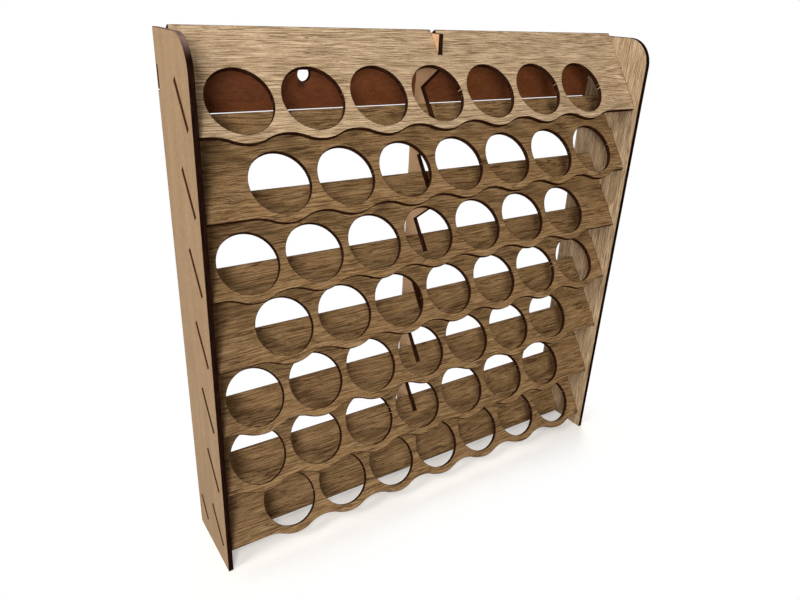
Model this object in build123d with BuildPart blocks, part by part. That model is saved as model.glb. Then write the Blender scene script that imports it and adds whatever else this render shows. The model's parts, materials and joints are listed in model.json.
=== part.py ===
from build123d import *
import os
from math import cos, hypot, radians, sin, tan

# Rack for paint jars, laser cut from thin board and joined by tabs in slots.
# Seven leaning plates with round holes stand between two side panels, one above
# the other, so that a jar pushed through a hole rests on the plate below and behind.
# A board on edge at mid width carries the plates, and has a pocket behind each row
# for the middle jars. Millimetres. X is the width, the front faces -Y and +Z is up.
# The origin is at the middle of the rack, on the surface that it stands on.

# Board and joints
board = 3.0                 # thickness of every board
slot_fit = 0.1              # clearance beside a board in a slot, and at each end of a tab
tab_length = 26.0           # tab at each end of a jar plate

# Jar holes
row_sides = (-1, 1, -1, 1, -1, -1, 1)   # one jar plate a row, from the top: moved left or right
row_stagger = 20.0          # sideways step between a row to the left and a row to the right
holes_per_row = 7
hole_diameter = 35.0
jar_diameter = 33.0         # largest jar that the holes and pockets take
hole_pitch = 40.0
end_margin = 25.5           # side panel to the centre of a row's nearest hole

# Jar plates
lean = 35.5                 # angle between a plate and the vertical, top edge to the back
row_rise = 42.6             # height from one row to the next
bottom_row_height = 27.2    # floor to the hole line of the bottom row, on the plate's front face
row_setback = 13.7          # front edge of the side panels to every hole line
plate_rise = 40.6           # hole line to the plate's top edge
web = 5.0                   # board left below each hole
wave_height = 4.5           # how far the lobes below the holes hang under the straight edge
divider_slot_depth = 12.5   # open slot for the divider in a plate's top edge

# Side panels
headroom = 31.2             # top hole line to the top edge of the panels
corner_radius = 18.0        # top front corner

# Centre divider
pocket_gap = 1.4            # pocket's ceiling above the largest jar, which lies on its hole's edge
spine = 9.3                 # board behind the deepest point of a pocket
divider_setback = 27.8      # front edge of the side panels to the divider's front edge at its top

# Strip that the bottom row of jars rests on
rest_lift = 0.5             # floor to its lowest corner
rest_width = 36.6
rest_tab_length = 16.0
rest_tab_drop = 5.2         # its top edge to the top of its tabs

# Hanging strip
strip_height = 38.0
strip_drop = 4.6            # top edge of the panels to the strip's top edge
strip_tab_height = 11.8
strip_play = 0.8            # free height under its tabs, which hang at the top of their notches
keyhole_diameter = 8.0
keyhole_slot_width = 4.6
keyhole_rise = 8.0          # centre of the round hole to the centre of the slot's closed end
keyhole_inset = 77.3        # side panel to the keyhole's centre

# What follows from these sizes
tilt = radians(lean)
rows = len(row_sides)
hole_radius = hole_diameter / 2
inner_width = 2 * end_margin + (holes_per_row - 1) * hole_pitch + row_stagger
lobe_radius = hole_radius + web
edge_drop = lobe_radius - wave_height
slot_width = board + 2 * slot_fit
top_row_height = bottom_row_height + (rows - 1) * row_rise
panel_height = top_row_height + headroom
pocket_rise = jar_diameter - hole_radius + pocket_gap
corner_rise = pocket_rise + row_rise * cos(tilt)
panel_depth = row_setback + corner_rise * sin(tilt) + spine
front = -panel_depth / 2
back = panel_depth / 2
strip_middle = panel_height - strip_drop - strip_height / 2
notch_depth = board + slot_fit
notch_height = strip_tab_height + strip_play
notch_middle = strip_middle - strip_play / 2


def on_plate(row, rise, out=0.0):
    """Y and Z of a point rise up a plate from its hole line and out in front of its face."""
    height = bottom_row_height + (rows - row) * row_rise
    y = front + row_setback + rise * sin(tilt) - out * cos(tilt)
    z = height + rise * cos(tilt) + out * sin(tilt)
    return y, z


def plate_plane(row):
    """Front face of a plate: X across the rack, Y up the plate from its hole line."""
    y, z = on_plate(row, 0)
    return Plane(origin=(0, y, z), x_dir=(1, 0, 0), z_dir=(0, -cos(tilt), sin(tilt)))


def slot_bottom(row):
    """Rise of the bottom of the divider's slot: the top one ends at the divider's front edge."""
    if row == 1:
        return (divider_setback - row_setback) / sin(tilt)
    return plate_rise - divider_slot_depth


def wavy_edge(hole_centres):
    """Lower edge of a plate: lobes concentric with the holes, joined by tangent arcs."""
    half_pitch = hole_pitch / 2
    valley_radius = (half_pitch**2 + edge_drop**2 - lobe_radius**2) / (2 * (lobe_radius - edge_drop))
    reach = lobe_radius / hypot(half_pitch, edge_drop + valley_radius)
    lobe_x = half_pitch * reach
    lobe_y = (edge_drop + valley_radius) * reach
    edge = Line((-inner_width / 2, -edge_drop), (hole_centres[0] - half_pitch, -edge_drop))
    for x in hole_centres:
        valley = TangentArc(edge @ 1, (x - lobe_x, -lobe_y), tangent=edge % 1)
        edge = ThreePointArc(valley @ 1, (x, -lobe_radius), (x + lobe_x, -lobe_y))
    valley = TangentArc(edge @ 1, (hole_centres[-1] + half_pitch, -edge_drop), tangent=edge % 1)
    Line(valley @ 1, (inner_width / 2, -edge_drop))


os.makedirs("parts", exist_ok=True)

# The strip behind the bottom row lies in the plane that an eighth plate would have
rest_row = rows + 1
floor_rise = -on_plate(rest_row, 0, -board)[1] / cos(tilt)
rest_bottom = floor_rise + rest_lift / cos(tilt)
rest_top = rest_bottom + rest_width
rest_tab_middle = rest_top - rest_tab_drop - rest_tab_length / 2

# Side panels, with a slanted slot for each plate's tab and a notch for the hanging strip
for name, side in (("left_side_panel", -1), ("right_side_panel", 1)):
    with BuildPart() as side_panel:
        with BuildSketch(Plane.YZ.offset(side * inner_width / 2)) as outline:
            with Locations((0, panel_height / 2)):
                Rectangle(panel_depth, panel_height)
            top_front = outline.vertices().group_by(Axis.Y)[-1].sort_by(Axis.X)[0]
            fillet(top_front, corner_radius)
            with Locations(*[on_plate(row, 0, -board / 2) for row in range(1, rows + 1)]):
                Rectangle(tab_length + 2 * slot_fit, slot_width, rotation=90 - lean, mode=Mode.SUBTRACT)
            with Locations(on_plate(rest_row, rest_tab_middle, -board / 2)):
                Rectangle(rest_tab_length + 2 * slot_fit, slot_width, rotation=90 - lean,
                          mode=Mode.SUBTRACT)
            with Locations((back, notch_middle)):
                Rectangle(2 * notch_depth, notch_height, mode=Mode.SUBTRACT)
        extrude(amount=side * board)
    side_panel.part.label = name
    export_step(side_panel.part, f"parts/{name}.step")

# Jar plates, from the top one down
for row, row_side in enumerate(row_sides, start=1):
    first_hole = row_side * row_stagger / 2 - (holes_per_row - 1) * hole_pitch / 2
    hole_centres = [first_hole + place * hole_pitch for place in range(holes_per_row)]
    slot_depth = plate_rise - slot_bottom(row)
    with BuildPart() as jar_plate:
        with BuildSketch(plate_plane(row)):
            with BuildLine():
                wavy_edge(hole_centres)
                side = inner_width / 2
                Polyline((side, -edge_drop), (side, plate_rise), (-side, plate_rise), (-side, -edge_drop))
            make_face()
            Rectangle(inner_width + 2 * board, tab_length)
            with Locations(*[(x, 0) for x in hole_centres]):
                Circle(hole_radius, mode=Mode.SUBTRACT)
            with Locations((0, plate_rise)):
                Rectangle(slot_width, 2 * slot_depth, mode=Mode.SUBTRACT)
        extrude(amount=-board)
    jar_plate.part.label = f"jar_plate_{row}"
    export_step(jar_plate.part, f"parts/jar_plate_{row}.step")

# Centre divider: down its front it passes through the slot of each plate, flush with the
# plate's front face, steps back behind the plate and then leaves a pocket for a jar
with BuildPart() as centre_divider:
    with BuildSketch(Plane.YZ):
        edge_points = [(back, 0), (back, panel_height), (front + divider_setback, panel_height)]
        for row in range(1, rows + 1):
            if row > 1:
                edge_points.append(on_plate(row, corner_rise))
            edge_points.append(on_plate(row, slot_bottom(row)))
            edge_points.append(on_plate(row, slot_bottom(row), -board))
            edge_points.append(on_plate(row, pocket_rise, -board))
        edge_points.append(on_plate(rest_row, corner_rise))
        edge_points.append(on_plate(rest_row, corner_rise, -board))
        edge_points.append((on_plate(rest_row, floor_rise, -board)[0], 0))
        with BuildLine():
            Polyline(*edge_points, close=True)
        make_face()
        with Locations((back, notch_middle)):
            Rectangle(2 * notch_depth, notch_height, mode=Mode.SUBTRACT)
    extrude(amount=board / 2, both=True)
centre_divider.part.label = "centre_divider"
export_step(centre_divider.part, "parts/centre_divider.step")

# Rest strip for the bottom row: the divider's lowest pocket ends in its open slot
with BuildPart() as jar_rest_strip:
    with BuildSketch(plate_plane(rest_row)):
        with Locations((0, (rest_bottom + rest_top) / 2)):
            Rectangle(inner_width, rest_width)
        with Locations((0, rest_tab_middle)):
            Rectangle(inner_width + 2 * board, rest_tab_length)
        with Locations((0, rest_top)):
            Rectangle(slot_width, 2 * (rest_top - corner_rise), mode=Mode.SUBTRACT)
    extrude(amount=-board)
jar_rest_strip.part.label = "jar_rest_strip"
export_step(jar_rest_strip.part, "parts/jar_rest_strip.step")

# Hanging strip: it is slotted above and below the divider's notch, and has two keyholes
with BuildPart() as hanging_strip:
    with BuildSketch(Plane.XZ.offset(-back)):
        with Locations((0, strip_middle)):
            Rectangle(inner_width, strip_height)
            Rectangle(inner_width + 2 * board, strip_tab_height)
        with Locations((0, strip_middle + strip_height / 2), (0, strip_middle - strip_height / 2)):
            Rectangle(slot_width, strip_height - strip_tab_height, mode=Mode.SUBTRACT)
        keyhole_x = inner_width / 2 - keyhole_inset
        with Locations((-keyhole_x, strip_middle), (keyhole_x, strip_middle)):
            Circle(keyhole_diameter / 2, mode=Mode.SUBTRACT)
            with Locations((0, keyhole_rise / 2)):
                Rectangle(keyhole_slot_width, keyhole_rise, mode=Mode.SUBTRACT)
            with Locations((0, keyhole_rise)):
                Circle(keyhole_slot_width / 2, mode=Mode.SUBTRACT)
    extrude(amount=board)
hanging_strip.part.label = "hanging_strip"
export_step(hanging_strip.part, "parts/hanging_strip.step")
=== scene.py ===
import json
from math import cos, pi, radians, sin

import bpy
import numpy as np
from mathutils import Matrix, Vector
from mathutils.geometry import delaunay_2d_cdt

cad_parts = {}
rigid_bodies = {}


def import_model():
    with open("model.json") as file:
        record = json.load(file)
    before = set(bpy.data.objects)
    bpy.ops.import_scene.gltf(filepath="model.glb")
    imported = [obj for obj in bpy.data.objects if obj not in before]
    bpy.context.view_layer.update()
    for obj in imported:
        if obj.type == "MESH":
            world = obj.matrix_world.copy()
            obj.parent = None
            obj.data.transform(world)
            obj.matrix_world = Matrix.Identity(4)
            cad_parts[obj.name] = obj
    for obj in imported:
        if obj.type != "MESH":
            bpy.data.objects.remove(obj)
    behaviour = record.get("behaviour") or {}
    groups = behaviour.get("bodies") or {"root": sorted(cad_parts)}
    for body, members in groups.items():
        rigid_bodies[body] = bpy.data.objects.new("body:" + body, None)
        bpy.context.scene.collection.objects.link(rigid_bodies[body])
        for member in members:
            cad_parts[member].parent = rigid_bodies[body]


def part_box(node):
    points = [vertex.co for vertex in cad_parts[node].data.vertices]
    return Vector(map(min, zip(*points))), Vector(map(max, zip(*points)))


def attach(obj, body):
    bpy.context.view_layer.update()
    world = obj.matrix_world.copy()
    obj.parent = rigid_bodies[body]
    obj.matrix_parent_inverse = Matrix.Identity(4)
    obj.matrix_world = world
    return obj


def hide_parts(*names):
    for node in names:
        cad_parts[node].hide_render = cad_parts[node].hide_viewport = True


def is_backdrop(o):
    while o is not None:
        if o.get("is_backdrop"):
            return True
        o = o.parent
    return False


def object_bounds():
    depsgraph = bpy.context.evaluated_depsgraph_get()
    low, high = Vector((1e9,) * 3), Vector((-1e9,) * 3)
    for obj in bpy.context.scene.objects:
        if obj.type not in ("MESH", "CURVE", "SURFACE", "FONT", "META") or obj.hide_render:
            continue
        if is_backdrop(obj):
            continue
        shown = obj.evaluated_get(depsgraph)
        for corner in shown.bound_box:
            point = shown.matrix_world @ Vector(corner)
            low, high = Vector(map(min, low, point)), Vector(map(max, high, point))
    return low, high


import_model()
cad_low, cad_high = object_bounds()

# The set
# The rack stands on a pale table top that runs out into white, before a white backdrop. Soft lamps
# stand at its front left, high and low, at its left, above it and behind it at the right, and the
# warm walls of a plain room fill in. The camera is at the left, just above the rack's top edge.
camera = bpy.data.objects.new("camera", bpy.data.cameras.new("camera"))
camera.data.sensor_width = 36.0
camera.data.lens = 29.87
camera.location = (-0.24992, -0.33501, 0.33212)
camera.rotation_euler = (radians(65.514), radians(-2.591), radians(-33.17))
bpy.context.scene.collection.objects.link(camera)
bpy.context.scene.camera = camera
bpy.context.scene.view_settings.view_transform = "Standard"

rack_middle = (cad_low + cad_high) / 2
warm_white = (1.0, 0.97, 0.92)


def node(tree, kind, inputs=(), output=0, **settings):
    """Adds a node, sets it, links or fills its inputs (pairs of socket and value), returns one output."""
    made = tree.nodes.new(kind)
    for name, value in settings.items():
        setattr(made, name, value)
    for socket, value in dict(inputs).items():
        if isinstance(value, bpy.types.NodeSocket):
            tree.links.new(value, made.inputs[socket])
        else:
            made.inputs[socket].default_value = value
    return made.outputs[output] if made.outputs else made


def maths(tree, operation, *values):
    """One sum of the Math node, with its values in order."""
    return node(tree, "ShaderNodeMath", enumerate(values), operation=operation)


def between(tree, value, low, high, start=0.0, end=1.0, kind="LINEAR"):
    """The value from low to high, spread over start to end."""
    return node(tree, "ShaderNodeMapRange", {0: value, 1: low, 2: high, 3: start, 4: end},
                interpolation_type=kind)


def soft_lamp(name, place, size, power):
    """A square lamp of that size and power in watts, turned towards the middle of the rack."""
    lamp = bpy.data.lights.new(name, "AREA")
    lamp.size = size
    lamp.energy = power
    lamp.color = warm_white
    holder = bpy.data.objects.new(name, lamp)
    holder.location = place
    holder.rotation_euler = (rack_middle - Vector(place)).to_track_quat("-Z", "Y").to_euler()
    bpy.context.scene.collection.objects.link(holder)


soft_lamp("window_lamp", place=(-1.06, -1.32, 1.57), size=0.40, power=16.0)
soft_lamp("front_lamp", place=(-0.80, -1.21, 0.50), size=0.35, power=11.0)
soft_lamp("ceiling_lamp", place=(-0.25, 0.32, 1.9), size=0.7, power=9.0)
soft_lamp("left_lamp", place=(-1.85, -0.40, 1.45), size=0.70, power=25.0)
soft_lamp("back_lamp", place=(1.10, 1.20, 0.9), size=1.0, power=17.0)

# The room: dim and warm, lighter towards its ceiling and its backdrop, and white to the camera
floor_light = 0.07
ceiling_light = 0.17
backdrop_light = 0.40
wall_colour = (1.0, 0.86, 0.70, 1.0)
pure_white = (1.0, 1.0, 1.0, 1.0)
world = bpy.data.worlds.new("room")
bpy.context.scene.world = world
world.use_nodes = True
tree = world.node_tree
tree.nodes.clear()
path = node(tree, "ShaderNodeLightPath").node
seen = maths(tree, "MAXIMUM", path.outputs["Is Camera Ray"], path.outputs["Is Transmission Ray"])
towards = node(tree, "ShaderNodeSeparateXYZ", {0: node(tree, "ShaderNodeTexCoord")}).node.outputs
room_light = between(tree, towards["Z"], -0.4, 1.0, floor_light, ceiling_light)
backdrop = between(tree, towards["Y"], 0.0, 0.5, 0.12, 1.0)
room_light = maths(tree, "MAXIMUM", room_light, maths(tree, "MULTIPLY", backdrop, backdrop_light))
room_light = node(tree, "ShaderNodeMix", {0: path.outputs["Is Glossy Ray"], 2: room_light, 3: backdrop})
strength = node(tree, "ShaderNodeMix", {0: seen, 2: room_light, 3: 1.0})
colour = node(tree, "ShaderNodeMix", {0: seen, 6: wall_colour, 7: pure_white}, output=2, data_type="RGBA")
room = node(tree, "ShaderNodeBackground", {"Color": colour, "Strength": strength})
node(tree, "ShaderNodeOutputWorld", {"Surface": room})


def empty_material(name):
    """A material without nodes yet, and its node tree."""
    material = bpy.data.materials.new(name)
    material.use_nodes = True
    material.node_tree.nodes.clear()
    return material, material.node_tree


# Table top
# A plain pale board, much wider than the view. It is shaded near the rack, and pure white to
# the camera from a few centimetres off it, so that it runs out into the backdrop.
table_reach = 4.0
fade_width = 0.040
seen_whiteness = 0.80
thrown_whiteness = 0.32                   # what it throws back at the rack
table_top, tree = empty_material("table_top")
path = node(tree, "ShaderNodeLightPath").node
spot = node(tree, "ShaderNodeTexCoord", output="Object")
outward = node(tree, "ShaderNodeVectorMath", {0: spot}, operation="ABSOLUTE")
outward = node(tree, "ShaderNodeVectorMath", {0: outward, 1: (cad_high.x, cad_high.y, 1.0)},
               operation="SUBTRACT")
outward = node(tree, "ShaderNodeVectorMath", {0: outward, 1: (0.0, 0.0, 0.0)}, operation="MAXIMUM")
distance = node(tree, "ShaderNodeVectorMath", {0: outward}, output="Value", operation="LENGTH")
far = between(tree, distance, 0.0, fade_width, 0.1, 1.0)
faded = maths(tree, "MULTIPLY", far, path.outputs["Is Camera Ray"])
near_glow = maths(tree, "MULTIPLY", path.outputs["Is Camera Ray"], 0.20)
whiteness = maths(tree, "MULTIPLY_ADD", path.outputs["Is Camera Ray"],
                  seen_whiteness - thrown_whiteness, thrown_whiteness)
top_shader = node(tree, "ShaderNodeBsdfPrincipled", {
    "Base Color": whiteness, "Roughness": 0.6,
    "Emission Color": pure_white, "Emission Strength": near_glow})
white = node(tree, "ShaderNodeEmission", {"Color": pure_white, "Strength": 1.0})
top_mix = node(tree, "ShaderNodeMixShader", {0: faded, 1: top_shader, 2: white})
node(tree, "ShaderNodeOutputMaterial", {0: top_mix})

corners = table_reach * np.array([(-1, -1, 0), (1, -1, 0), (1, 1, 0), (-1, 1, 0)])
mesh = bpy.data.meshes.new("table")
mesh.from_pydata(corners.tolist(), [], [(0, 1, 2, 3)])
mesh.materials.append(table_top)
table = bpy.data.objects.new("table", mesh)
bpy.context.scene.collection.objects.link(table)
table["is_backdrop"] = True

# Leaning plates
# Seven boards of 3 mm hardboard with an oak print on their front face, leaning back one above the
# other, held by a tab at each end. A laser cut them, so every edge is charred, the arrises are a
# little burnt away, and two bridges of uncut board were snapped at the right of every hole.
lean = radians(35.5)
row_sides = (-1, 1, -1, 1, -1, -1, 1)     # which way each row of holes is moved, from the top
holes_per_row = 7
hole_radius = 0.0175
hole_pitch = 0.040
row_stagger = 0.020
web = 0.005                               # board left below each hole
edge_drop = 0.018                         # hole line to the straight ends of the lower edge
wave_height = hole_radius + web - edge_drop    # how far the lobes hang under them
plate_rise = 0.0406                       # hole line to the top edge
tab_length = 0.026
slot_fit = 0.0001                         # clearance beside a board in a slot, and at a tab's ends
divider_slot_depth = 0.0125

left_low, left_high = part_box("left_side_panel")
right_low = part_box("right_side_panel")[0]
board = left_high.x - left_low.x
inner_width = right_low.x - left_high.x
half_width = inner_width / 2              # middle of the rack to a side panel's inner face
front = left_low.y
back = left_high.y
slot_width = board + 2 * slot_fit
half_slot = slot_width / 2
row_setback = 0.0137                      # front edge of the side panels to every hole line
divider_setback = 0.0278                  # and to the divider's front edge at its top
top_slot_depth = plate_rise - (divider_setback - row_setback) / sin(lean)

# Section through a cut edge: how far each ring of points lies inside the outline, how deep
# under the print face, and how burnt it is. In order: flat face, burnt arris, wall that
# tapers to the back, arris, flat face.
arris = 0.00016                           # how far the corners of the edge are burnt away
kerf_taper = 0.00006                      # how much further in the wall lies at the print face
taper = kerf_taper * np.array([1.0, 0.75, 0.5, 0.25, 0.0])
face_inset = np.array([1.5e-3, 9e-4, 4.5e-4, arris, 0.3 * arris])
edge_inset = np.r_[face_inset[:3], face_inset[3:] + kerf_taper, taper, face_inset[::-1]]
wall_depth = np.linspace(arris, board - arris, 5)
edge_depth = np.r_[0.0, 0.0, 0.0, 0.0, 0.3 * arris, wall_depth, board - 0.3 * arris, board * np.ones(4)]
edge_burn = np.r_[0.0, 0.04, 0.3, np.ones(9), 0.3, 0.04, 0.0]
start_burn = np.minimum(1.0, 2.5 * edge_burn**0.4)    # wider, where the beam started or ended
arris_rings = (3, 11)                     # the rings that bound the charred part


def arc(centre, radius, start, turn, steps):
    """Points of an arc: the centre plus the radius times the cosine and sine of evenly spread angles."""
    angle = start + turn * np.arange(steps + 1) / steps
    return np.c_[centre[0] + radius * np.cos(angle), centre[1] + radius * np.sin(angle)]


def round_hole(centre, radius, steps=84):
    """A closed clockwise circle, so that the board lies to its left: the cosine and sine of angles
    that run down evenly from 0 to a full turn, times the radius."""
    return arc(centre, radius, 0.0, -2 * pi, steps)[:-1]


stub_least = (0.00012, 0.00012)           # half a bridge stub's width, and how far it stands proud
stub_most = (0.00024, 0.00036)
flush_height = 1e-6                       # how far a stub that was rubbed flush stands proud


def with_bridges(loop, places, flush=False):
    """The loop with the stub of a snapped bridge at the side nearest to each place: four points on
    that side, of which the middle two stand proud of the wall. The third column holds how far.
    Each stub has a width and a height of its own, drawn by its place, but a flush one is not proud."""
    loop = np.pad(loop, ((0, 0), (0, 3 - loop.shape[1])))
    for place in places:
        chance = np.random.default_rng(int(1e6 * abs(place[0] + 3 * place[1])))
        half_foot, proud = chance.uniform(stub_least, stub_most)
        side = np.roll(loop, -1, axis=0) - loop
        middle = (loop + side / 2)[:, :2] - place
        nearest = np.hypot(middle[:, 0], middle[:, 1]).argmin()
        share = 0.5 + half_foot * np.array([-1.0, -0.6, 0.5, 1.0]) / np.hypot(*side[nearest, :2])
        stub = loop[nearest] + share[:, None] * side[nearest]
        stub[:, 2] = (flush_height if flush else proud) * np.array([0.0, 1.0, 0.8, 0.0])
        loop = np.insert(loop, [nearest + 1] * 4, stub, axis=0)
    return loop


def fill_between(lines):
    """Counterclockwise triangles over the board between closed lines, as numbers of the lines' points.
    All the points are triangulated with the lines kept as edges, and of the triangles those stay
    whose middle is in the board: a ray from it towards +X crosses the lines an odd number of times."""
    points = np.concatenate(lines)
    ends = np.cumsum([len(line) for line in lines])
    ahead = np.arange(len(points)) + 1
    ahead[ends - 1] = np.r_[0, ends[:-1]]
    edges = np.c_[np.arange(len(points)), ahead]
    flat = [Vector(point) for point in points.tolist()]
    triangles = np.array(delaunay_2d_cdt(flat, edges.tolist(), [], 0, 1e-9)[2])
    a, b = points[edges[:, 0]], points[edges[:, 1]]
    middle = points[triangles].mean(axis=1)[:, None]
    spans = (a[:, 1] > middle[..., 1]) != (b[:, 1] > middle[..., 1])
    share = (middle[..., 1] - a[:, 1]) / np.where(a[:, 1] == b[:, 1], 1.0, b[:, 1] - a[:, 1])
    crossed = spans & (middle[..., 0] < a[:, 0] + share * (b[:, 0] - a[:, 0]))
    triangles = triangles[crossed.sum(axis=1) % 2 == 1]
    a, b, c = (points[triangles[:, k]] for k in range(3))
    turn = (b[:, 0] - a[:, 0]) * (c[:, 1] - a[:, 1]) - (b[:, 1] - a[:, 1]) * (c[:, 0] - a[:, 0])
    triangles[turn < 0] = triangles[turn < 0][:, ::-1]
    return triangles


def quad_corners(here, ahead):
    """The four corners of each quad between two neighbouring rings, from the rings' values at a
    point and at the point ahead of it."""
    return np.stack([here[1:], ahead[1:], ahead[:-1], here[:-1]], axis=2)


def cut_board(name, loops, origin, along, up, out, sheet_place, grain_up=False):
    """A board cut along closed loops, the outer one counterclockwise and the holes clockwise. A loop's
    third column is how far a torn bridge stands proud there, and its fourth is 1 where the beam
    started or ended. The surface is the edge section carried round each loop: a point is the loop's
    point, moved in along the mitre of its two sides by the section's inset, and back by its depth.
    Torn bridges move the wall the other way, each ring by a share of its own. Flat faces close
    the front and the back inside the innermost rings. The skins are 0 print, 1 raw face,
    2 charred edge and 3 torn bridge, and the map "sheet" is the place on the printed sheet, or
    on a charred edge the run along it and the depth, in metres. "burn" says how burnt a point is."""
    chance = np.random.default_rng(len(bpy.data.objects))
    sheet = np.array(sheet_place)
    strips = np.arange(len(edge_inset) - 1)
    on_edge = (strips >= arris_rings[0]) & (strips < arris_rings[1])
    face_skin = np.where(strips < arris_rings[0], 0, 1)[:, None]
    rings, numbers, burns, quads, corners, skins = [], [], [], [], [], []
    made = 0
    for loop in loops:
        loop = np.pad(loop, ((0, 0), (0, 4 - loop.shape[1])))
        side = np.roll(loop, -1, axis=0)[:, :2] - loop[:, :2]
        length = np.hypot(side[:, 0], side[:, 1])
        normal = np.c_[-side[:, 1], side[:, 0]] / length[:, None]
        before = np.roll(normal, 1, axis=0)
        mitre = (normal + before) / (1 + (normal * before).sum(1))[:, None]
        ragged = chance.uniform(0.4, 1.0, (len(edge_inset), len(loop))) * (edge_burn == 1.0)[:, None]
        shift = edge_inset[:, None] - loop[:, 2] * ragged
        ring = loop[:, :2] + shift[..., None] * mitre
        here = made + np.arange(ring.shape[0] * ring.shape[1]).reshape(ring.shape[:2])
        made += here.size
        run = np.r_[0.0, np.cumsum(length)]
        wall = np.stack(np.broadcast_arrays(run[:-1], edge_depth[:, None]), axis=2)
        wall_ahead = np.stack(np.broadcast_arrays(run[1:], edge_depth[:, None]), axis=2)
        planar = ring + sheet
        if grain_up:
            planar = planar[..., ::-1]
        on_sheet = quad_corners(planar, np.roll(planar, -1, axis=1))
        on_wall = quad_corners(wall, wall_ahead)
        torn = (loop[:, 2] > 0) | (np.roll(loop[:, 2], -1) > 0)
        skin = np.where(on_edge[:, None], np.where(torn, 3, 2), face_skin)
        rings.append(ring)
        numbers.append(here)
        burns.append(np.maximum(edge_burn[:, None], loop[:, 3] * start_burn[:, None]))
        quads.append(quad_corners(here, np.roll(here, -1, axis=1)))
        corners.append(np.where(on_edge[:, None, None, None], on_wall, on_sheet).reshape(-1, 2))
        skins.append(skin.ravel())
    flat = np.concatenate([ring.reshape(-1, 2) for ring in rings])
    depth = np.concatenate([np.repeat(edge_depth, ring.shape[1]) for ring in rings])
    fills = []
    for skin, at in enumerate((0, -1)):
        within = np.concatenate([here[at] for here in numbers])
        triangles = within[fill_between([ring[at] for ring in rings])]
        fills.append(triangles if skin == 0 else triangles[:, ::-1])
        planar = flat[fills[-1].ravel()] + sheet
        corners.append(planar[:, ::-1] if grain_up else planar)
        skins.append(np.full(len(triangles), skin))
    place = (np.array(origin) + flat[:, :1] * np.array(along) + flat[:, 1:] * np.array(up)
             - depth[:, None] * np.array(out))
    mesh = bpy.data.meshes.new(name)
    quads = np.concatenate([quad.reshape(-1, 4) for quad in quads])
    mesh.from_pydata(place.tolist(), [], quads.tolist() + np.concatenate(fills).tolist())
    sheet_map = mesh.uv_layers.new(name="sheet")
    sheet_map.uv.foreach_set("vector", np.concatenate(corners).astype(np.float32).ravel())
    burn = np.concatenate([burn.ravel() for burn in burns]).astype(np.float32)
    mesh.attributes.new("burn", "FLOAT", "POINT").data.foreach_set("value", burn)
    mesh.polygons.foreach_set("material_index", np.concatenate(skins).astype(np.int32))
    mesh.polygons.foreach_set("use_smooth", np.ones(len(mesh.polygons), bool))
    mesh.set_sharp_from_angle(angle=radians(50))
    mesh.update()
    thing = bpy.data.objects.new(name, mesh)
    bpy.context.scene.collection.objects.link(thing)
    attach(thing, "root")
    return thing


def wavy_edge(hole_centres):
    """Lower edge, left to right: lobes concentric with the holes, joined by valleys, arcs whose tops
    are level with the straight edge. A valley's radius is the one at which it touches the lobes
    beside it: the distance between their centres is then the sum of the two radii."""
    half_pitch = hole_pitch / 2
    lobe = hole_radius + web
    valley = (half_pitch**2 + edge_drop**2 - lobe**2) / (2 * wave_height)
    spread = np.arctan2(half_pitch, edge_drop + valley)
    stretches = [np.array([(-half_width, -edge_drop)])]
    centre = (hole_centres[0] - half_pitch, -edge_drop - valley)
    stretches.append(arc(centre, valley, pi / 2, -spread, 7))
    for x in hole_centres:
        stretches.append(arc((x, 0.0), lobe, -pi / 2 - spread, 2 * spread, 16)[1:])
        centre = (x + half_pitch, -edge_drop - valley)
        share = 1 if x == hole_centres[-1] else 2
        stretches.append(arc(centre, valley, pi / 2 + spread, -share * spread, 7 * share)[1:])
    stretches.append(np.array([(half_width, -edge_drop)]))
    return np.concatenate(stretches)


def leaning_place(node_name, rise):
    """Y and Z on a leaning board's front face, that far under its top edge, from its CAD box."""
    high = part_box(node_name)[1]
    return high.y - board * cos(lean) - rise * sin(lean), high.z - rise * cos(lean)


lean_up = (0.0, sin(lean), cos(lean))     # up a leaning board, and out of its front face
lean_out = (0.0, -cos(lean), sin(lean))


def new_group(name, inputs, outputs):
    """A shader node group with those sockets, and what comes out of its input node."""
    group = bpy.data.node_groups.new(name, "ShaderNodeTree")
    for socket, value in inputs.items():
        kind = "NodeSocketVector" if value is None else "NodeSocketFloat"
        made = group.interface.new_socket(socket, in_out="INPUT", socket_type=kind)
        if value is not None:
            made.default_value = value
    for socket in outputs:
        group.interface.new_socket(socket, in_out="OUTPUT", socket_type="NodeSocketFloat")
    return group, group.nodes.new("NodeGroupInput").outputs


# Noise drawn out along the sheet, from about 0 to 1: its length and width are in metres
drawn_out, given = new_group("drawn_out_noise", {
    "Sheet": None, "Length": 0.05, "Width": 0.001, "Roughness": 0.5, "Seed": 0.0}, ["Value"])
size = node(drawn_out, "ShaderNodeCombineXYZ", {0: given["Length"], 1: given["Width"], 2: 1.0})
spread = node(drawn_out, "ShaderNodeVectorMath", {0: given["Sheet"], 1: size}, operation="DIVIDE")
seed = node(drawn_out, "ShaderNodeCombineXYZ", {2: given["Seed"]})
spread = node(drawn_out, "ShaderNodeVectorMath", {0: spread, 1: seed}, operation="ADD")
value = node(drawn_out, "ShaderNodeTexNoise", {
    "Vector": spread, "Scale": 1.0, "Detail": 3.0, "Roughness": given["Roughness"]})
node(drawn_out, "NodeGroupOutput", {"Value": value})

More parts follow.
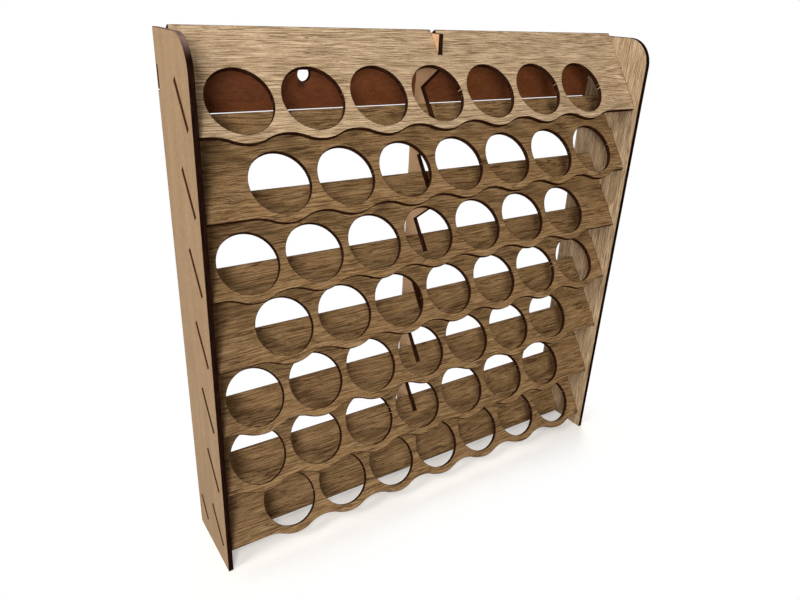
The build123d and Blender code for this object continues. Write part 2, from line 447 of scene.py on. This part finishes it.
# Scorch: the print turns brown and then black beside a cut, from the board's "burn" attribute
scorch, given = new_group("scorch", {"Sheet": None, "Threshold": 0.5}, ["Mask"])
burn = node(scorch, "ShaderNodeAttribute", output="Fac", attribute_name="burn")
blotches = node(scorch, "ShaderNodeTexNoise", {"Vector": given["Sheet"], "Scale": 900.0, "Detail": 2.0})
blotches = maths(scorch, "MULTIPLY_ADD", blotches, 0.5, -0.25)
burn = maths(scorch, "ADD", burn, blotches)
start = maths(scorch, "SUBTRACT", given["Threshold"], 0.3)
mask = between(scorch, burn, start, given["Threshold"], kind="SMOOTHSTEP")
node(scorch, "NodeGroupOutput", {"Mask": mask})

# Knots: in about half of the cells that the sheet is divided into, the grain parts round a
# dark lens. The bend pulls a point's place across the grain towards the middle of the lens.
knots, given = new_group("knots", {"Sheet": None, "Length": 0.15, "Width": 0.05}, ["Bend", "Knot"])
cell = node(knots, "ShaderNodeCombineXYZ", {0: given["Length"], 1: given["Width"], 2: 1.0})
spread = node(knots, "ShaderNodeVectorMath", {0: given["Sheet"], 1: cell}, operation="DIVIDE")
nearest = node(knots, "ShaderNodeTexVoronoi", {"Vector": spread, "Scale": 1.0, "Randomness": 0.8},
               voronoi_dimensions="2D").node
offset = node(knots, "ShaderNodeVectorMath", {0: spread, 1: nearest.outputs["Position"]},
              operation="SUBTRACT")
lens = node(knots, "ShaderNodeVectorMath", {0: offset, 1: (7.5, 6.5, 0.0)}, operation="MULTIPLY")
distance = node(knots, "ShaderNodeVectorMath", {0: lens}, output="Value", operation="LENGTH")
fall = maths(knots, "MULTIPLY", distance, distance)
near = maths(knots, "EXPONENT", maths(knots, "MULTIPLY", fall, -1.0))
lot = node(knots, "ShaderNodeSeparateColor", {0: nearest.outputs["Color"]})
near = maths(knots, "MULTIPLY", near, maths(knots, "GREATER_THAN", lot, 0.5))
across = node(knots, "ShaderNodeSeparateXYZ", {0: offset}, output=1)
across = maths(knots, "MULTIPLY", across, given["Width"])
bend = maths(knots, "MULTIPLY", maths(knots, "MULTIPLY", across, near), -0.85)
lens_mask = between(knots, near, 0.60, 0.95, kind="SMOOTHSTEP")
node(knots, "NodeGroupOutput", {"Bend": bend, "Knot": lens_mask})


def noise(tree, sheet, length, width, seed, roughness=0.5):
    """The drawn-out noise, placed in a material."""
    return node(tree, "ShaderNodeGroup", {"Sheet": sheet, "Length": length, "Width": width,
                                          "Seed": seed, "Roughness": roughness}, node_tree=drawn_out)


def ramp(tree, value, stops):
    """A colour along stops, each a position and a colour."""
    colours = node(tree, "ShaderNodeValToRGB", {0: value}).node
    elements = colours.color_ramp.elements
    for position, _ in stops[1:-1]:
        elements.new(position)
    for element, (position, colour) in zip(elements, stops):
        element.position = position
        element.color = (*colour, 1.0)
    return colours.outputs[0]


def blend_colours(tree, share, first, second):
    """The first colour, with a share of the second mixed into it."""
    def filled(colour):
        return colour if isinstance(colour, bpy.types.NodeSocket) else (*colour, 1.0)
    return node(tree, "ShaderNodeMix", {0: share, 6: filled(first), 7: filled(second)},
                output=2, data_type="RGBA")


def bumped(tree, height, distance, strength=1.0):
    """The normal that a height from 0 to 1 gives, at a relief of that many metres."""
    return node(tree, "ShaderNodeBump", {"Height": height, "Distance": distance, "Strength": strength})


def around(tree, base, *parts):
    """The base, plus each part's value less a half, times its weight."""
    total = base
    for value, weight in parts:
        total = maths(tree, "ADD", maths(tree, "MULTIPLY_ADD", value, weight, -0.5 * weight), total)
    return total


singed_brown = (0.11, 0.048, 0.020)
soot_black = (0.016, 0.006, 0.004)


def scorched(tree, sheet, colour, threshold):
    """The colour, brown beside a cut and black at its arris, where it is burnt up to the threshold."""
    brown = node(tree, "ShaderNodeGroup", {"Sheet": sheet, "Threshold": threshold - 0.25}, node_tree=scorch)
    black = node(tree, "ShaderNodeGroup", {"Sheet": sheet, "Threshold": threshold}, node_tree=scorch)
    colour = blend_colours(tree, maths(tree, "MULTIPLY", brown, 0.75), colour, singed_brown)
    return blend_colours(tree, maths(tree, "MULTIPLY", black, 0.95), colour, soot_black)


def oak_print(name, dark, middle, light, pore, coarse, unrest):
    """Printed oak: bands, streaks and short pores drawn out along a grain that wanders, ripples in
    places and parts round knots, with a few slanted wisps, under a matt varnish over the pores.
    The widths are times coarse, and unrest is how far the grain ripples at most, in metres."""
    material, tree = empty_material(name)
    sheet = node(tree, "ShaderNodeUVMap", uv_map="sheet")
    knot = node(tree, "ShaderNodeGroup", {"Sheet": sheet}, node_tree=knots).node.outputs
    wander = noise(tree, sheet, length=0.16, width=0.040, seed=1.0)
    restless = noise(tree, sheet, length=0.10, width=0.040, seed=2.0)
    restless = between(tree, restless, 0.46, 0.62, 0.0004, unrest)
    ripple = noise(tree, sheet, length=0.011, width=0.005, seed=3.0)
    shift = maths(tree, "MULTIPLY_ADD", wander, 0.009, knot["Bend"])
    shift = maths(tree, "MULTIPLY_ADD", maths(tree, "SUBTRACT", ripple, 0.5), restless, shift)
    shift = node(tree, "ShaderNodeCombineXYZ", {1: shift})
    fibres = node(tree, "ShaderNodeVectorMath", {0: sheet, 1: shift}, operation="ADD")
    bands = noise(tree, fibres, length=0.12, width=0.0065, seed=4.0)
    streaks = noise(tree, fibres, length=0.040, width=0.0010 * coarse, seed=5.0, roughness=0.6)
    fine = noise(tree, fibres, length=0.020, width=0.00042 * coarse, seed=6.0, roughness=0.6)
    speckle = noise(tree, sheet, length=0.0018, width=0.0008 * coarse, seed=8.0, roughness=0.6)
    tone = around(tree, 0.5, (bands, 0.45), (streaks, 0.7), (fine, 2.9), (speckle, 0.8))
    colour = ramp(tree, tone, [(0.0, dark), (0.5, middle), (1.0, light)])
    flecks = noise(tree, fibres, length=0.014, width=0.00042 * coarse, seed=9.0)
    flecks = between(tree, flecks, 0.58, 0.63, 0.0, 0.8)
    colour = blend_colours(tree, flecks, colour, light)
    dashes = noise(tree, fibres, length=0.024, width=0.00040 * coarse, seed=7.0, roughness=0.4)
    dashes = between(tree, dashes, 0.57, 0.60)
    # Long cracks run where a noise crosses its middle, with a light line on either side
    course = noise(tree, fibres, length=0.060, width=0.0032 * coarse, seed=10.0)
    course = maths(tree, "ABSOLUTE", maths(tree, "SUBTRACT", course, 0.5))
    gaps = between(tree, noise(tree, fibres, length=0.020, width=0.0040, seed=14.0), 0.46, 0.54)
    cracks = maths(tree, "MULTIPLY", between(tree, course, 0.004 * coarse, 0.017 * coarse, 1.0, 0.0), gaps)
    beside = maths(tree, "ABSOLUTE", maths(tree, "SUBTRACT", course, 0.046 * coarse))
    edging = maths(tree, "MULTIPLY", between(tree, beside, 0.0, 0.020 * coarse, 0.5, 0.0), gaps)
    colour = blend_colours(tree, edging, colour, light)
    slanted = node(tree, "ShaderNodeVectorRotate", {"Vector": sheet, "Angle": radians(24)},
                   rotation_type="Z_AXIS")
    patches = between(tree, noise(tree, sheet, length=0.055, width=0.022, seed=15.0), 0.54, 0.64)
    wisps = noise(tree, slanted, length=0.0090, width=0.0006 * coarse, seed=16.0)
    wisps = maths(tree, "MULTIPLY", between(tree, wisps, 0.60, 0.66), patches)
    marks = maths(tree, "MAXIMUM", dashes, maths(tree, "MAXIMUM", cracks, wisps))
    colour = blend_colours(tree, maths(tree, "MULTIPLY", marks, 0.78), colour, pore)
    colour = blend_colours(tree, maths(tree, "MULTIPLY", knot["Knot"], 0.5), colour, pore)
    colour = scorched(tree, sheet, colour, threshold=1.0)
    relief = around(tree, 0.5, (fine, 1.0), (marks, -0.6))
    varnish = node(tree, "ShaderNodeBsdfPrincipled", {
        "Base Color": colour, "Roughness": between(tree, relief, 0.2, 0.9, 0.68, 0.54),
        "Specular IOR Level": 0.22, "Normal": bumped(tree, relief, 0.00006, 0.7)})
    node(tree, "ShaderNodeOutputMaterial", {0: varnish})
    return material


def hardboard(name, shade, body, pale, stains=()):
    """Raw hardboard: pressed wood fibre, smooth, with soft streaks and a fine felt of fibres.
    Stains are places where the beam lingered: a soft black spot a few millimetres wide round each."""
    material, tree = empty_material(name)
    sheet = node(tree, "ShaderNodeUVMap", uv_map="sheet")
    clouds = noise(tree, sheet, length=0.080, width=0.0095, seed=11.0)
    mottle = noise(tree, sheet, length=0.0060, width=0.0020, seed=12.0, roughness=0.6)
    felt = noise(tree, sheet, length=0.0022, width=0.0009, seed=13.0, roughness=0.7)
    tone = around(tree, 0.5, (clouds, 1.0), (mottle, 1.4), (felt, 2.0))
    colour = ramp(tree, tone, [(0.0, shade), (0.5, body), (1.0, pale)])
    colour = scorched(tree, sheet, colour, threshold=1.05)
    stain_brown = (0.030, 0.010, 0.004)
    for stain in stains:
        spot = node(tree, "ShaderNodeTexCoord", output="Object")
        away = node(tree, "ShaderNodeVectorMath", {0: spot, 1: stain}, output="Value", operation="DISTANCE")
        away = maths(tree, "ADD", away, maths(tree, "MULTIPLY", mottle, -0.002))
        soot = between(tree, away, 0.0, 0.0032, 0.75, 0.0, kind="SMOOTHSTEP")
        colour = blend_colours(tree, soot, colour, stain_brown)
    board_shader = node(tree, "ShaderNodeBsdfPrincipled", {
        "Base Color": colour, "Roughness": between(tree, mottle, 0.3, 0.7, 0.52, 0.66),
        "Specular IOR Level": 0.25, "Normal": bumped(tree, felt, 0.00004, 0.6)})
    node(tree, "ShaderNodeOutputMaterial", {0: board_shader})
    return material


pale_print = oak_print("pale_oak_print", dark=(0.17, 0.105, 0.050), middle=(0.378, 0.268, 0.163),
                       light=(0.64, 0.495, 0.335), pore=(0.13, 0.070, 0.030),
                       coarse=1.0, unrest=0.0014)
# The same oak print painted darker and redder, with a coarser grain: painted shade, for the boards that
# stand in shade under the plates and deep in the rack
painted_shade_print = oak_print("painted_shade_oak_print", dark=(0.113, 0.056, 0.019), middle=(0.226, 0.133, 0.056),
                       light=(0.372, 0.245, 0.125), pore=(0.050, 0.021, 0.007),
                       coarse=1.35, unrest=0.0040)
raw_face = hardboard("raw_face", shade=(0.27, 0.172, 0.092), body=(0.34, 0.226, 0.130),
                     pale=(0.41, 0.282, 0.170))


def charred(name, brightness, axis, start, reach, paler):
    """A cut edge: near black brown, scored through the thickness by the beam. From the start on it
    turns to the paler colour over the reach, along the axis and out from the origin both ways."""
    material, tree = empty_material(name)
    sheet = node(tree, "ShaderNodeUVMap", uv_map="sheet")
    scores = noise(tree, sheet, length=0.00035, width=0.005, seed=21.0, roughness=0.6)
    smoke = noise(tree, sheet, length=0.008, width=0.0016, seed=22.0)
    tone = around(tree, brightness, (scores, 0.8), (smoke, 1.2))
    colour = ramp(tree, tone, [(0.0, (0.006, 0.0024, 0.0020)), (0.5, (0.018, 0.0068, 0.0044)),
                               (1.0, (0.065, 0.025, 0.011))])
    spot = node(tree, "ShaderNodeTexCoord", output="Object")
    outward = node(tree, "ShaderNodeVectorMath", {0: spot}, operation="ABSOLUTE")
    beyond = node(tree, "ShaderNodeVectorMath", {0: outward, 1: axis}, output="Value",
                  operation="DOT_PRODUCT")
    beyond = between(tree, beyond, start, start + reach, kind="SMOOTHSTEP")
    colour = blend_colours(tree, maths(tree, "MULTIPLY", beyond, smoke), colour, paler)
    soot = node(tree, "ShaderNodeBsdfPrincipled", {
        "Base Color": colour, "Roughness": between(tree, smoke, 0.3, 0.7, 0.75, 0.90),
        "Specular IOR Level": 0.0, "Normal": bumped(tree, scores, 0.00005, 0.8)})
    node(tree, "ShaderNodeOutputMaterial", {0: soot})
    return material


charred_edge = charred("charred_edge", brightness=0.64, axis=(1.0, 0.0, 0.0), start=half_width + board / 2,
                       reach=0.001, paler=(0.090, 0.036, 0.014))

# Torn bridge: fibre that the beam never reached, clean on some bridges and smoked on others
torn_fibre, tree = empty_material("torn_fibre")
sheet = node(tree, "ShaderNodeUVMap", uv_map="sheet")
place = node(tree, "ShaderNodeTexCoord", output="Object")
strands = noise(tree, sheet, length=0.00012, width=0.0012, seed=31.0, roughness=0.7)
smoked = node(tree, "ShaderNodeTexNoise", {"Vector": place, "Scale": 90.0, "Detail": 1.0})
tone = around(tree, 0.22, (strands, 0.8), (smoked, 3.6))
colour = ramp(tree, tone, [(0.30, (0.045, 0.016, 0.008)), (0.50, (0.20, 0.090, 0.045)),
                           (0.75, (0.52, 0.36, 0.22))])
fibre = node(tree, "ShaderNodeBsdfPrincipled", {
    "Base Color": colour, "Roughness": between(tree, strands, 0.3, 0.7, 0.85, 0.7),
    "Normal": bumped(tree, strands, 0.00008)})
node(tree, "ShaderNodeOutputMaterial", {0: fibre})


def finish_board(piece, node_name, print_skin, raw_skin, edge_skin=charred_edge):
    """Gives the board its four skins, and hides the CAD node that it stands for."""
    for material in (print_skin, raw_skin, edge_skin, torn_fibre):
        piece.data.materials.append(material)
    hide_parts(node_name)


def bridge_feet(x, chance):
    """The places at the right of a hole where a bridge was snapped: about 8 degrees above and 4
    below its middle."""
    angle = np.radians([8.0, -4.0] + chance.uniform(-3.0, 3.0, 2))
    return np.c_[x + hole_radius * np.cos(angle), hole_radius * np.sin(angle)]


# Where bridges were snapped along the lower edges of the top three rows, from left to right
edge_bridges = {1: (-0.0705, 0.0070), 2: (-0.0905, 0.0300), 3: (-0.0905, 0.0695)}
half_tab = tab_length / 2
hole_lines = []
chance = np.random.default_rng(5)
for row, row_side in enumerate(row_sides, start=1):
    y, z = leaning_place(f"jar_plate_{row}", plate_rise)
    hole_lines.append((y, z))
    first_hole = row_side * row_stagger / 2 - (holes_per_row - 1) * hole_pitch / 2
    centres = [first_hole + place * hole_pitch for place in range(holes_per_row)]
    slot_depth = top_slot_depth if row == 1 else divider_slot_depth
    right_side = np.array([(half_width, -half_tab), (half_width + board, -half_tab),
                           (half_width + board, half_tab), (half_width, half_tab),
                           (half_width, plate_rise), (half_slot, plate_rise),
                           (half_slot, plate_rise - slot_depth)])
    outline = np.concatenate([wavy_edge(centres), right_side, right_side[::-1] * (-1, 1)])
    outline = with_bridges(outline, [(-half_width - board, 0.0), (half_width + board, 0.0)], flush=True)
    outline = with_bridges(outline, [(x, -edge_drop) for x in edge_bridges.get(row, ())])
    holes = [with_bridges(round_hole((x, 0.0), hole_radius), bridge_feet(x, chance)) for x in centres]
    piece = cut_board(f"row_{row}_board", [outline, *holes], origin=(0.0, y, z), along=(1.0, 0.0, 0.0),
                      up=lean_up, out=lean_out, sheet_place=(0.4 * row, 0.11 * row))
    # Only the top plate shows the plain pale print. Below it the print is painted darker and redder,
    # with a coarser grain: painted shade, for the shade under the plate above.
    print_skin = pale_print if row == 1 else painted_shade_print
    finish_board(piece, f"jar_plate_{row}", print_skin, raw_face)

# Side panels
# Two upright boards with the oak print inside and the raw face out. The plates' tabs come
# through their slanted slots and end flush, and the hanging strip drops into a notch.
corner_radius = 0.018
slot_length = tab_length + 2 * slot_fit
rest_tab_length = 0.016
rest_tab_drop = 0.0052                    # the rest strip's top edge to its tabs
rest_slot_length = rest_tab_length + 2 * slot_fit
corner_run = 0.0008                       # from a slot's corner to the next point along its side
notch_depth = board + slot_fit
strip_tab_height = 0.0118
strip_play = 0.0008                       # the tabs hang at the top of their notches
notch_height = strip_tab_height + strip_play
strip_low, strip_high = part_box("hanging_strip")
notch_top = (strip_low.z + strip_high.z + strip_tab_height) / 2
notch_bottom = notch_top - notch_height
notch_front = back - notch_depth
top = left_high.z
# The left panel's edge turns paler over the top centimetre, round its corner: a painted sheen, the
# reflection of the ceiling light. The right panel's edge is darker and has none.
painted_sheen_edge = charred("painted_sheen_edge", brightness=0.32, axis=(0.0, 0.0, 1.0), start=top - 0.0112,
                     reach=0.011, paler=(0.31, 0.21, 0.19))
sooty_edge = charred("sooty_edge", brightness=0.20, axis=(0.0, 0.0, 1.0), start=top,
                     reach=0.001, paler=(0.02, 0.01, 0.01))


def slanted_slot(centre, length, width, slant):
    """A closed clockwise rectangle of that length and width, its length turned up by the slant. The
    beam started at one corner and ended at the one across: both are burnt, as the fourth column says."""
    along = np.array((cos(slant), sin(slant)))
    across = np.array((-sin(slant), cos(slant)))
    lengthwise = length * np.array([-0.5, -0.5, -0.5, -0.5, 0.5, 0.5, 0.5, 0.5])
    lengthwise += corner_run * np.array([1, 0, 0, 1, -1, 0, 0, -1])
    sideways = width * np.array([-0.5, -0.5, 0.5, 0.5, 0.5, 0.5, -0.5, -0.5])
    burnt = np.array([0, 1, 0, 0, 0, 1, 0, 0])
    points = np.array(centre) + lengthwise[:, None] * along + sideways[:, None] * across
    return np.c_[points, np.zeros(8), burnt]


round_corner = arc((front + corner_radius, top - corner_radius), corner_radius, pi / 2, pi / 2, 18)
panel_outline = np.concatenate([
    [(front, 0.0), (back, 0.0), (back, notch_bottom), (notch_front, notch_bottom),
     (notch_front, notch_top), (back, notch_top), (back, top)], round_corner])
half_board = np.array((cos(lean), -sin(lean))) * board / 2
rest_middle = leaning_place("jar_rest_strip", rest_tab_drop + rest_tab_length / 2)
slot_places = [(line, slot_length) for line in hole_lines] + [(rest_middle, rest_slot_length)]
slots = [slanted_slot(np.array(place) + half_board, length, slot_width, pi / 2 - lean)
         for place, length in slot_places]
panel_loops = [panel_outline, *slots]
left_board = cut_board("left_side_board", panel_loops, origin=(-half_width, 0.0, 0.0), along=(0.0, 1.0, 0.0),
                       up=(0.0, 0.0, 1.0), out=(1.0, 0.0, 0.0), sheet_place=(0.2, 1.2), grain_up=True)
finish_board(left_board, "left_side_panel", pale_print, raw_face, painted_sheen_edge)
mirrored = [loop[::-1] * np.array([-1, 1, 1, 1])[:loop.shape[1]] for loop in panel_loops]
right_board = cut_board("right_side_board", mirrored, origin=(half_width, 0.0, 0.0), along=(0.0, -1.0, 0.0),
                        up=(0.0, 0.0, 1.0), out=(-1.0, 0.0, 0.0), sheet_place=(0.7, 1.9), grain_up=True)
finish_board(right_board, "right_side_panel", pale_print, raw_face, sooty_edge)

# Centre divider
# An upright hardboard at mid width with a saw-tooth front edge: each tooth fills the slot in a
# plate's top edge, and a pocket behind each row leaves the middle hole open to the back.
jar_diameter = 0.033
pocket_gap = 0.0014                       # clearance at the pocket's end
pocket_rise = jar_diameter - hole_radius + pocket_gap
# The divider's raw face is painted lighter and warmer than the other raw faces: painted light, for the warm
# light bounced onto it from the brown boards round it
painted_light_face = hardboard("painted_light_face", shade=(0.50, 0.300, 0.165), body=(0.60, 0.380, 0.220),
                     pale=(0.67, 0.450, 0.275))
row_rise = hole_lines[0][1] - hole_lines[1][1]
corner_rise = pocket_rise + row_rise * cos(lean)


def on_plate(line, rise, deep=0.0):
    """Y and Z of a point that far up a plate from its hole line, and that deep under its face."""
    return (line[0] + rise * sin(lean) + deep * cos(lean), line[1] + rise * cos(lean) - deep * sin(lean))


rest_line = (hole_lines[0][0], hole_lines[-1][1] - row_rise)
tooth_points = []
for row, line in enumerate(hole_lines, start=1):
    slot_bottom = plate_rise - (top_slot_depth if row == 1 else divider_slot_depth)
    if row > 1:
        tooth_points.append(on_plate(line, corner_rise))
    tooth_points += [on_plate(line, slot_bottom), on_plate(line, slot_bottom, board),
                     on_plate(line, pocket_rise, board)]
tooth_points += [on_plate(rest_line, corner_rise), on_plate(rest_line, corner_rise, board)]
foot_rise = (board * sin(lean) - rest_line[1]) / cos(lean)
tooth_points.append((on_plate(rest_line, foot_rise, board)[0], 0.0))
lap_bottom = notch_top - strip_tab_height
divider_outline = np.array([
    (back, 0.0), (back, lap_bottom), (notch_front, lap_bottom),
    (notch_front, notch_top), (back, notch_top), (back, top),
    (front + divider_setback, top)] + tooth_points)
divider_board = cut_board("divider_board", [divider_outline], origin=(board / 2, 0.0, 0.0),
                          along=(0.0, 1.0, 0.0), up=(0.0, 0.0, 1.0), out=(1.0, 0.0, 0.0),
                          sheet_place=(0.45, 2.3), grain_up=True)
# Its print carries the painted shade of the deeper boards, and its raw face the painted bounce light
finish_board(divider_board, "centre_divider", painted_shade_print, painted_light_face)

# Rest strip
# A leaning hardboard strip without holes, behind the bottom row. Its tabs sit in the side
# panels' short slots, and a slot in its top edge laps it with the divider.
rest_width = 0.0366
y, z = leaning_place("jar_rest_strip", 0.0)
tab_bottom = -rest_tab_drop - rest_tab_length
rest_slot = (z - on_plate(rest_line, corner_rise)[1]) / cos(lean)
half_outline = np.array([(half_width, -rest_width), (half_width, tab_bottom),
                         (half_width + board, tab_bottom), (half_width + board, -rest_tab_drop),
                         (half_width, -rest_tab_drop), (half_width, 0.0),
                         (half_slot, 0.0), (half_slot, -rest_slot)])
rest_outline = np.concatenate([half_outline, half_outline[::-1] * (-1, 1)])
rest_board = cut_board("rest_board", [rest_outline], origin=(0.0, y, z), along=(1.0, 0.0, 0.0),
                       up=lean_up, out=lean_out, sheet_place=(0.3, 2.6))
# Its print is painted darker: painted shade, as it lies deep in the rack
finish_board(rest_board, "jar_rest_strip", painted_shade_print, raw_face)

# Hanging strip
# An upright board across the top of the back, raw face to the front, with two keyholes for
# the heads of wall screws. It is lapped with the divider and its tabs drop into the panels.
keyhole_radius = 0.0040
keyhole_slot_width = 0.0046
keyhole_rise = 0.008                      # middle of the round hole to that of the slot's end
keyhole_inset = 0.0773                    # from the side panels' inner faces
keyhole_x = half_width - keyhole_inset
stain_left = 0.0020                       # a keyhole's middle to where the beam lingered
stain_drop = 0.0050
strip_height = strip_high.z - strip_low.z
strip_middle = (strip_high.z + strip_low.z) / 2
high = strip_height / 2
tab = strip_tab_height / 2
half_outline = np.array([(half_slot, -tab), (half_slot, -high), (half_width, -high), (half_width, -tab),
                         (half_width + board, -tab), (half_width + board, tab), (half_width, tab),
                         (half_width, high), (half_slot, high), (half_slot, tab)])
strip_outline = np.concatenate([half_outline, half_outline[::-1] * (-1, 1)])
shoulder = np.arcsin(keyhole_slot_width / 2 / keyhole_radius)
keyhole = np.concatenate([arc((0.0, 0.0), keyhole_radius, pi / 2 - shoulder, -2 * (pi - shoulder), 40),
                          arc((0.0, keyhole_rise), keyhole_slot_width / 2, pi, -pi, 16)])
stains = [(x - stain_left, back - board, strip_middle - stain_drop) for x in (-keyhole_x, keyhole_x)]
# The strip's raw face is painted far darker and redder than the other raw faces: painted shade, for the deep
# shade behind the top plate. The spots below the keyholes are real burn stains.
painted_shade_face = hardboard("painted_shade_face", shade=(0.135, 0.039, 0.012), body=(0.184, 0.057, 0.018),
                       pale=(0.234, 0.080, 0.028), stains=stains)
strip_loops = [strip_outline, keyhole + (-keyhole_x, 0.0), keyhole + (keyhole_x, 0.0)]
strip_board = cut_board("hanging_board", strip_loops, origin=(0.0, back, strip_middle),
                        along=(-1.0, 0.0, 0.0), up=(0.0, 0.0, 1.0), out=(0.0, 1.0, 0.0),
                        sheet_place=(0.9, 2.9))
finish_board(strip_board, "hanging_strip", pale_print, painted_shade_face)

low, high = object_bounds()
